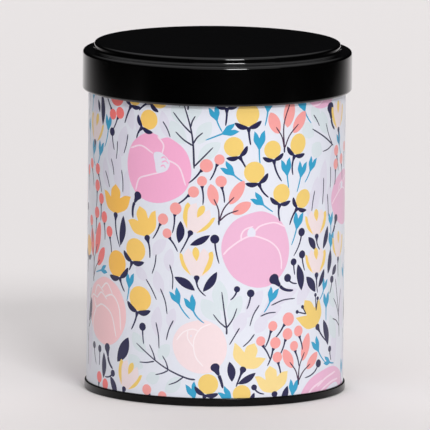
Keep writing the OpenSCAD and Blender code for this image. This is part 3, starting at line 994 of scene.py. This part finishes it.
class WrapMesh:
    """Gathers the wrap's faces with their corner normals, inks and map coordinates."""

    def __init__(self):
        self.verts, self.faces, self.normals, self.inks, self.maps = [], [], [], [], []
        self.index = {}

    def vert(self, u, v, r):
        spot = rolled(u, v, r)
        key = tuple(round(c / MM, 3) for c in spot)
        if key not in self.index:
            self.index[key] = len(self.verts)
            self.verts.append(spot)
        return self.index[key]

    def face(self, corners, normal_of, ink, map_of):
        """corners are (u, v, r); normal_of(u) is a normal and map_of(u, v, r) a place on the map."""
        ids = [self.vert(*c) for c in corners]
        if len(set(ids)) < 3:
            return
        kept = [n for n in range(len(ids)) if ids[n] != ids[n - 1]]
        self.faces.append([ids[n] for n in kept])
        for n in kept:
            self.normals.append(normal_of(corners[n][0]))
            self.inks.append(ink)
            self.maps.append(map_of(*corners[n]))


def outward(u):
    turn = u / PAPER_R - math.pi / 2
    return (math.cos(turn), math.sin(turn), 0)


def inward(u):
    return tuple(-c for c in outward(u))


def across_map(u):
    """How far u lies across the map, 0 to 1 for one whole turn."""
    return (u + HALF_TURN / 2) / (2 * HALF_TURN)


def face_map(u, v, r):
    return across_map(u), 0.1 + 0.9 * (v - PAPER_FOOT) / PAPER_HIGH


def back_map(u, v, r):
    return across_map(u), 0.05 * (v - PAPER_FOOT) / PAPER_HIGH


def rim_map(u, v, r):
    """Two narrow bands on the map, for the bottom and the top rim."""
    band = 0.055 if v < PAPER_FOOT + PAPER_HIGH / 2 else 0.07
    return across_map(u), band + 0.01 * (r - PASTED_R) / (OVERLAP_R - PASTED_R)


def wall_map(u, v, r):
    """One more band, half of it for each side of the overlap."""
    half = 0.5 if u > HALF_TURN else 0.0
    return half + 0.45 * (v - PAPER_FOOT) / PAPER_HIGH, 0.085 + 0.01 * (r - PAPER_R) / PAPER


def outside_r(u, tile):
    """The radius of the paper's outside: a paper's thickness more where it overlaps at the back."""
    return OVERLAP_R if tile == 1 and abs(u) < OVERLAP / 2 else PAPER_R


def printed_side(mesh, spots, triangles, colours, tile):
    """The plan's triangles on the can's outside. tile is 0 for the front half turn and 1 for the back."""
    shift = tile * HALF_TURN
    for triangle, ink in zip(triangles, colours):
        points = [spots[i] for i in triangle]
        r = outside_r(sum(p[0] for p in points) / 3, tile)
        mesh.face([(p[0] + shift, p[1], r) for p in points], outward, INKS[ink], face_map)


def pasted_side_and_rims(mesh, rims, tile):
    """The pasted side in columns, and the paper's thickness at the bottom and the top of each column."""
    shift = tile * HALF_TURN
    for k in range(COLUMNS):
        a, b = (-HALF_TURN / 2 + HALF_TURN * n / COLUMNS for n in (k, k + 1))
        corners = [(b, PAPER_FOOT), (a, PAPER_FOOT), (a, PAPER_TOP), (b, PAPER_TOP)]
        mesh.face([(u + shift, v, PASTED_R) for u, v in corners], inward, INKS["paper"], back_map)
        for v, rim in rims.items():
            up = (0, 0, 1 if v == PAPER_TOP else -1)
            edge = [(a + shift, v, PASTED_R)]
            row = [u for u in rim if a - STEP < u < b + STEP]
            for u, onward in zip(row, row[1:]):
                r = outside_r((u + onward) / 2, tile)
                edge += [(u + shift, v, r), (onward + shift, v, r)]
            edge.append((b + shift, v, PASTED_R))
            mesh.face(edge, lambda u: up, INKS["paper"], rim_map)


def overlap_side(mesh, spots, side):
    """One side edge of the overlap, from bottom to top."""
    u = side * OVERLAP / 2
    heights = sorted(p[1] for p in spots if abs(p[0] - u) < STEP)
    ahead = outward(u + HALF_TURN + side * PAPER_R * math.pi / 2)
    for low, top in zip(heights, heights[1:]):
        corners = ((low, PAPER_R), (top, PAPER_R), (top, OVERLAP_R), (low, OVERLAP_R))
        mesh.face([(u + HALF_TURN, v, r) for v, r in corners], lambda u: ahead, INKS["paper"], wall_map)


def printed_wrap():
    """The wrap: the printed side rolled twice round the can, the pasted side, the edges and the overlap."""
    spots, triangles, colours = cut_plan()
    on_rim = lambda v: sorted({round(p[0], 4) for p in spots if abs(p[1] - v) < STEP})
    rims = {v: on_rim(v) for v in (PAPER_FOOT, PAPER_TOP)}
    mesh = WrapMesh()
    for tile in (0, 1):
        printed_side(mesh, spots, triangles, colours, tile)
        pasted_side_and_rims(mesh, rims, tile)
    for side in (-1, 1):
        overlap_side(mesh, spots, side)
    wrap = finish_mesh("wrap", mesh.verts, mesh.faces, mesh.normals, (mesh.inks, mesh.maps))
    inks = wrap.data.color_attributes.new("ink", "FLOAT_COLOR", "CORNER")
    uv = wrap.data.uv_layers.new(name="OFBake")
    for n, (ink, spot) in enumerate(zip(mesh.inks, mesh.maps)):
        inks.data[n].color = (*ink, 1)
        uv.data[n].uv = spot
    return wrap


# ---------------------------------------------------------------- pieces


def lap_strip():
    """The welded lap inside the can's back: a thin round strip against the wall."""
    steps = 6
    r_in, r_out = SHELL_R - 2 * SHEET_SHELL, SHELL_R - SHEET_SHELL / 2
    low, high = LAP_FOOT, LAP_TOP
    sweep = LAP_WIDTH / r_out
    turns = [(math.pi - sweep) / 2 + sweep * k / steps for k in range(steps + 1)]
    verts, faces, normals = [], [], []
    for turn in turns:
        for r, z in ((r_in, low), (r_out, low), (r_out, high), (r_in, high)):
            verts.append((r * math.cos(turn) * MM, r * math.sin(turn) * MM, z * MM))
    for k in range(steps):
        middle = (turns[k] + turns[k + 1]) / 2
        out = Vector((math.cos(middle), math.sin(middle), 0))
        for side, normal in enumerate((Vector((0, 0, -1)), out, Vector((0, 0, 1)), -out)):
            onward = (side + 1) % 4
            faces.append([4 * k + side, 4 * k + onward, 4 * k + 4 + onward, 4 * k + 4 + side])
            normals += [normal] * 4
    for k, way in ((0, 1), (steps, -1)):
        faces.append([4 * k + n for n in range(4)])
        normals += [Vector((math.sin(turns[k]), -math.cos(turns[k]), 0)) * way] * 4
    return finish_mesh("can_lap", verts, faces, normals)


def outer_lid():
    """The outer lid: raised disc, shoulder, skirt and inward curl."""
    mid = SHEET_LID / 2
    shoulder = LID_TOP - DISC_RISE - mid
    riser, skirt = DISC_R - mid, LID_R - mid
    curl_bend = (LID_CURL - SHEET_LID) / 2
    curl = LID_R - LID_CURL + mid
    foot = LID_FOOT + mid
    return lathe("lid_outer", sheet_runs([
        [0, LID_TOP - mid],
        [riser, LID_TOP - mid, DISC_EDGE_R - mid],
        [riser, shoulder, SHOULDER_R + mid],
        [skirt, shoulder, SHOULDER_R - mid],
        [skirt, foot, curl_bend],
        [curl, foot, curl_bend],
        [curl, foot + 2 * curl_bend, curl_bend],
        [skirt - SHEET_LID, foot + 2 * curl_bend],
    ], SHEET_LID), 256)


def body_shell():
    """The can's wall: folded foot in the seam, rolled rim at the mouth."""
    mid = SHELL_R - SHEET_SHELL / 2
    hook = SHELL_R + 2 * SEAM_GAP + SHEET_BASE + SHEET_SHELL / 2
    floor = SHEET_BASE + SEAM_GAP + SHEET_SHELL
    curl_bend = (RIM_CURL - SHEET_SHELL) / 2
    rim = RIM_TOP - SHEET_SHELL / 2
    bore = SHELL_R - RIM_CURL + SHEET_SHELL / 2
    return lathe("can_shell", sheet_runs([
        [hook, HOOK_TOP],
        [hook, floor - SHEET_SHELL / 2, (hook - mid) / 2],
        [mid, floor - SHEET_SHELL / 2, (hook - mid) / 2],
        [mid, rim, curl_bend],
        [bore, rim, curl_bend],
        [bore, rim - 2 * curl_bend, curl_bend],
        [mid - SHEET_SHELL, rim - 2 * curl_bend],
    ], SHEET_SHELL))


def base_plate():
    """The base: beaded panel, chuck wall and the outer layers of the double seam."""
    half = SHEET_BASE / 2
    hook = SHELL_R + SEAM_GAP + half
    wall = SHELL_R + 3 * SEAM_GAP + SHEET_BASE + SHEET_SHELL + half
    chuck = SHELL_R - SHEET_SHELL - SEAM_GAP - half
    panel = 2.0 + half
    bend = (wall - hook) / 2
    bead_rise, bead_bend = 0.6, 0.3
    bead_out = chuck - 3.6
    bead_in = bead_out - 2.8
    return lathe("base_end", sheet_runs([
        [0, panel],
        [bead_in, panel, bead_bend],
        [bead_in + bead_rise, panel + bead_rise, bead_bend],
        [bead_out - bead_rise, panel + bead_rise, bead_bend],
        [bead_out, panel, bead_bend],
        [chuck, panel, 0.5],
        [chuck, half, 0.25],
        [wall, half, 0.25],
        [wall, SEAM_H - half, bend],
        [hook, SEAM_H - half, bend],
        [hook, 0.73],
    ], SHEET_BASE), 256)


def inner_lid():
    """The inner plug lid: beaded panel, wall and flange."""
    half = SHEET_INNER / 2
    flange = node_top("inner_lid") - half
    panel = node_foot("lid_knob") - half
    wall = SHELL_R - RIM_CURL - 0.08 - half
    bead_rise, bead_bend = 0.9, 0.5
    bead_out = wall - 8
    bead_in = bead_out - 4.8
    return lathe("lid_inner", sheet_runs([
        [RIVET_HOLE_R, panel],
        [bead_in, panel, bead_bend],
        [bead_in + bead_rise, panel + bead_rise, bead_bend],
        [bead_out - bead_rise, panel + bead_rise, bead_bend],
        [bead_out, panel, bead_bend],
        [wall, panel, 1.5 - half],
        [wall, flange, 0.6 - half],
        [SHELL_R - 0.3, flange],
    ], SHEET_INNER))


def knob():
    """The moulded knob: foot, hollow neck, rounded rim, low dome and the rivet's pocket."""
    foot, top = node_foot("lid_knob"), node_top("lid_knob")
    neck, waist, rim = 3.4, 2.2, 1.0
    head_r = 8 - rim
    crown = (head_r ** 2 + 1.0) / 2
    edge = math.degrees(math.asin(head_r / crown))
    pocket = math.degrees(math.asin(RIVET_POCKET_R / crown))
    pocket_z = node_foot("knob_rivet") + 8.45
    foot_edge = foot + 0.8
    rim_z = foot_edge + 2 * waist + rim
    runs = flat_runs([(RIVET_HOLE_R, foot), (neck + waist, foot), (neck + waist, foot_edge)])
    runs.append(arc_run(neck + waist, foot_edge + waist, waist, 270, 90, 20, inward=True))
    runs += flat_runs([(neck + waist, rim_z - rim), (head_r, rim_z - rim)])
    runs.append(arc_run(head_r, rim_z, rim, -90, 90 - edge, 16))
    dome = arc_run(0, top - crown, crown, 90 - edge, 90 - pocket, 10)
    dome[0] = (runs[-1][-1][0], dome[0][1])
    runs.append(dome)
    runs += flat_runs([
        dome[-1][0], (RIVET_POCKET_R, pocket_z), (RIVET_HOLE_R, pocket_z), (RIVET_HOLE_R, foot)])
    return lathe("knob", runs, 128)


def rivet():
    """The rivet: set tail under the washer, shank and low domed head."""
    foot, top = node_foot("knob_rivet"), node_top("knob_rivet")
    head, tail = top - 0.9, foot + 0.7
    crown = (RIVET_HEAD_R ** 2 + 0.45 ** 2) / 0.9
    edge = math.degrees(math.asin(RIVET_HEAD_R / crown))
    side = [(0, foot), (1.85, foot), (2.1, tail), (RIVET_R, tail), (RIVET_R, head), (RIVET_HEAD_R, head)]
    runs = flat_runs(side)
    dome = arc_run(0, top - crown, crown, 90 - edge, 90, 8)
    runs += flat_runs([(RIVET_HEAD_R, head), dome[0][0]])
    return lathe("rivet", runs + [dome], 64)


def plain_ring(name, node, r_in):
    """A flat ring with a node's height and outer radius."""
    r_out, low, high = node_radius(node), node_foot(node), node_top(node)
    corners = [(r_in, low), (r_out, low), (r_out, high), (r_in, high)]
    return lathe(name, flat_runs(corners, closed=True), 96)


PIECES = (
    (outer_lid, "outer_lid", "outer_lid", "lid_lacquer", lacquer("lid_lacquer", 0.085, 0.0000012)),
    (body_shell, "body_shell", "caddy", "tinplate", tinplate("tinplate", linear(206, 205, 203), 0.24)),
    (lap_strip, "body_shell", "caddy", "tinplate", None),
    (base_plate, "base_plate", "caddy", "base_lacquer", lacquer("base_lacquer", 0.17, 0.000003, 0.0, 1.28)),
    (inner_lid, "inner_lid", "inner_lid", "tinplate", None),
    (knob, "lid_knob", "inner_lid", "knob_plastic", moulded_plastic()),
    (rivet, "knob_rivet", "inner_lid", "rivet_metal", tinplate("rivet_metal", linear(196, 194, 190), 0.3)),
    (lambda: plain_ring("washer", "knob_washer", RIVET_HOLE_R), "knob_washer", "inner_lid", "tinplate", None),
    (lambda: plain_ring("seal", "base_seal", 40.69), "base_seal", "caddy", "seam_compound", compound()),
    (printed_wrap, "paper_wrap", "caddy", "printed_paper", printed_paper()),
)

slot_materials = {}
for build, node, body, slot, look in PIECES:
    slot_materials[slot] = look or slot_materials[slot]
    piece = build()
    piece.data.materials.append(slot_materials[slot])
    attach(piece, body)
    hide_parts(node)
    print(piece.name, len(piece.data.polygons), "faces")

# ---------------------------------------------------------------- floor, light and camera

FLOOR_COLOUR = (210, 206, 206)
OFF_TABLE = (0.001, 0.001, 0.001)

# In reflections the table fades from nothing at the first place to full at the second, in metres
TABLE_FRONT = (-0.42, -0.2)
TABLE_RIGHT = (0.72, 0.27)
TABLE_LEFT = (-0.8, -0.18)

# Light from the room: the fill, and what reflections show round about and, between these heights, overhead
ROOM_FILL = 0.32
ROOM_AROUND = (0.006, 0.006, 0.0065)
ROOM_OVERHEAD = (0.6, 0.6, 0.61)
OVERHEAD = (0.3, 0.95)

# name, place, aim, width, height, watts, and whether reflections show it
SOFTBOXES = (
    ("key", (1.4, -4.4, 2.95), (0, 0, 0.05), 1.5, 1.1, 160, True),
    ("window", (1.4, -4.4, 3.15), (0, 0, 0.05), 8.0, 1.5, 24, True),
    ("top", (0.2, -1.4, 4.6), (0, 0.3, 0), 4.0, 4.0, 108, False),
    ("back", (0, 2.6, 2.2), (0, 1.5, 0), 3.0, 2.0, 52, False),
)


def floor():
    """The pale table the can stands on. In reflections it shows only as far as a table would reach."""
    bpy.ops.mesh.primitive_plane_add(size=40)
    plane = bpy.context.object
    plane.name = "floor"
    plane.location = (0, 0, -0.0001)
    mat, tree, shader = material("floor_paint")
    shader.inputs["Roughness"].default_value = 0.9
    shader.inputs["Specular IOR Level"].default_value = 0.1
    coords = tree.nodes.new("ShaderNodeTexCoord")
    axes = tree.nodes.new("ShaderNodeSeparateXYZ")
    tree.links.new(coords.outputs["Object"], axes.inputs["Vector"])
    front = ranged(tree, axes.outputs["Y"], *TABLE_FRONT, smooth=True)
    right = ranged(tree, axes.outputs["X"], *TABLE_RIGHT, smooth=True)
    left = ranged(tree, axes.outputs["X"], *TABLE_LEFT, smooth=True)
    on_table = product(tree, product(tree, front, right), left)
    path = tree.nodes.new("ShaderNodeLightPath")
    off_table = tree.nodes.new("ShaderNodeMath")
    off_table.operation = "SUBTRACT"
    off_table.inputs[0].default_value = 1.0
    tree.links.new(on_table, off_table.inputs[1])
    dark = product(tree, off_table.outputs[0], path.outputs["Is Glossy Ray"])
    paint = blended(tree, dark, linear(*FLOOR_COLOUR), OFF_TABLE)
    tree.links.new(paint, shader.inputs["Base Color"])
    plane.data.materials.append(mat)


def product(tree, a, b):
    """Two values multiplied."""
    node = tree.nodes.new("ShaderNodeMath")
    node.operation = "MULTIPLY"
    tree.links.new(a, node.inputs[0])
    tree.links.new(b, node.inputs[1])
    return node.outputs[0]


def softbox(name, spot, aim, width, height, watts, glossy):
    """A soft area lamp at spot, turned to aim."""
    data = bpy.data.lights.new(name, "AREA")
    data.shape = "RECTANGLE"
    data.size, data.size_y = width, height
    data.energy = watts
    lamp = bpy.data.objects.new(name, data)
    lamp.location = spot
    lamp.rotation_euler = (Vector(aim) - Vector(spot)).to_track_quat("-Z", "Y").to_euler()
    lamp.visible_glossy = glossy
    bpy.context.scene.collection.objects.link(lamp)


def studio():
    """The room: even for diffuse light. For reflections it is dark all round and pale overhead."""
    world = bpy.data.worlds.new("studio")
    bpy.context.scene.world = world
    world.use_nodes = True
    tree = world.node_tree
    coords = tree.nodes.new("ShaderNodeTexCoord")
    axes = tree.nodes.new("ShaderNodeSeparateXYZ")
    tree.links.new(coords.outputs["Generated"], axes.inputs["Vector"])
    overhead = ranged(tree, axes.outputs["Z"], *OVERHEAD, smooth=True)
    room = blended(tree, overhead, ROOM_AROUND, ROOM_OVERHEAD)
    path = tree.nodes.new("ShaderNodeLightPath")
    mix = tree.nodes.new("ShaderNodeMix")
    mix.data_type = "RGBA"
    mix.inputs["A"].default_value = (ROOM_FILL, ROOM_FILL, ROOM_FILL, 1)
    tree.links.new(room, mix.inputs["B"])
    tree.links.new(path.outputs["Is Glossy Ray"], mix.inputs["Factor"])
    tree.links.new(mix.outputs["Result"], tree.nodes["Background"].inputs["Color"])


floor()
studio()
for box in SOFTBOXES:
    softbox(*box)

CAMERA_LENS = 1376
CAMERA_AWAY = 5.19
CAMERA_PITCH = 8.2
CAMERA_ROLL = 0.5
CAMERA_AIM = Vector((-0.00035, 0, 0.0548))


def camera():
    data = bpy.data.cameras.new("camera")
    data.lens = CAMERA_LENS
    data.clip_end = 100
    cam = bpy.data.objects.new("camera", data)
    tilt = math.radians(CAMERA_PITCH)
    cam.location = CAMERA_AIM + Vector((0, -math.cos(tilt), math.sin(tilt))) * CAMERA_AWAY
    roll = Matrix.Rotation(math.radians(CAMERA_ROLL), 4, "Z")
    cam.rotation_euler = (Matrix.Rotation(math.pi / 2 - tilt, 4, "X") @ roll).to_euler()
    bpy.context.scene.collection.objects.link(cam)
    bpy.context.scene.camera = cam


camera()
bpy.context.scene.view_settings.view_transform = "Standard"
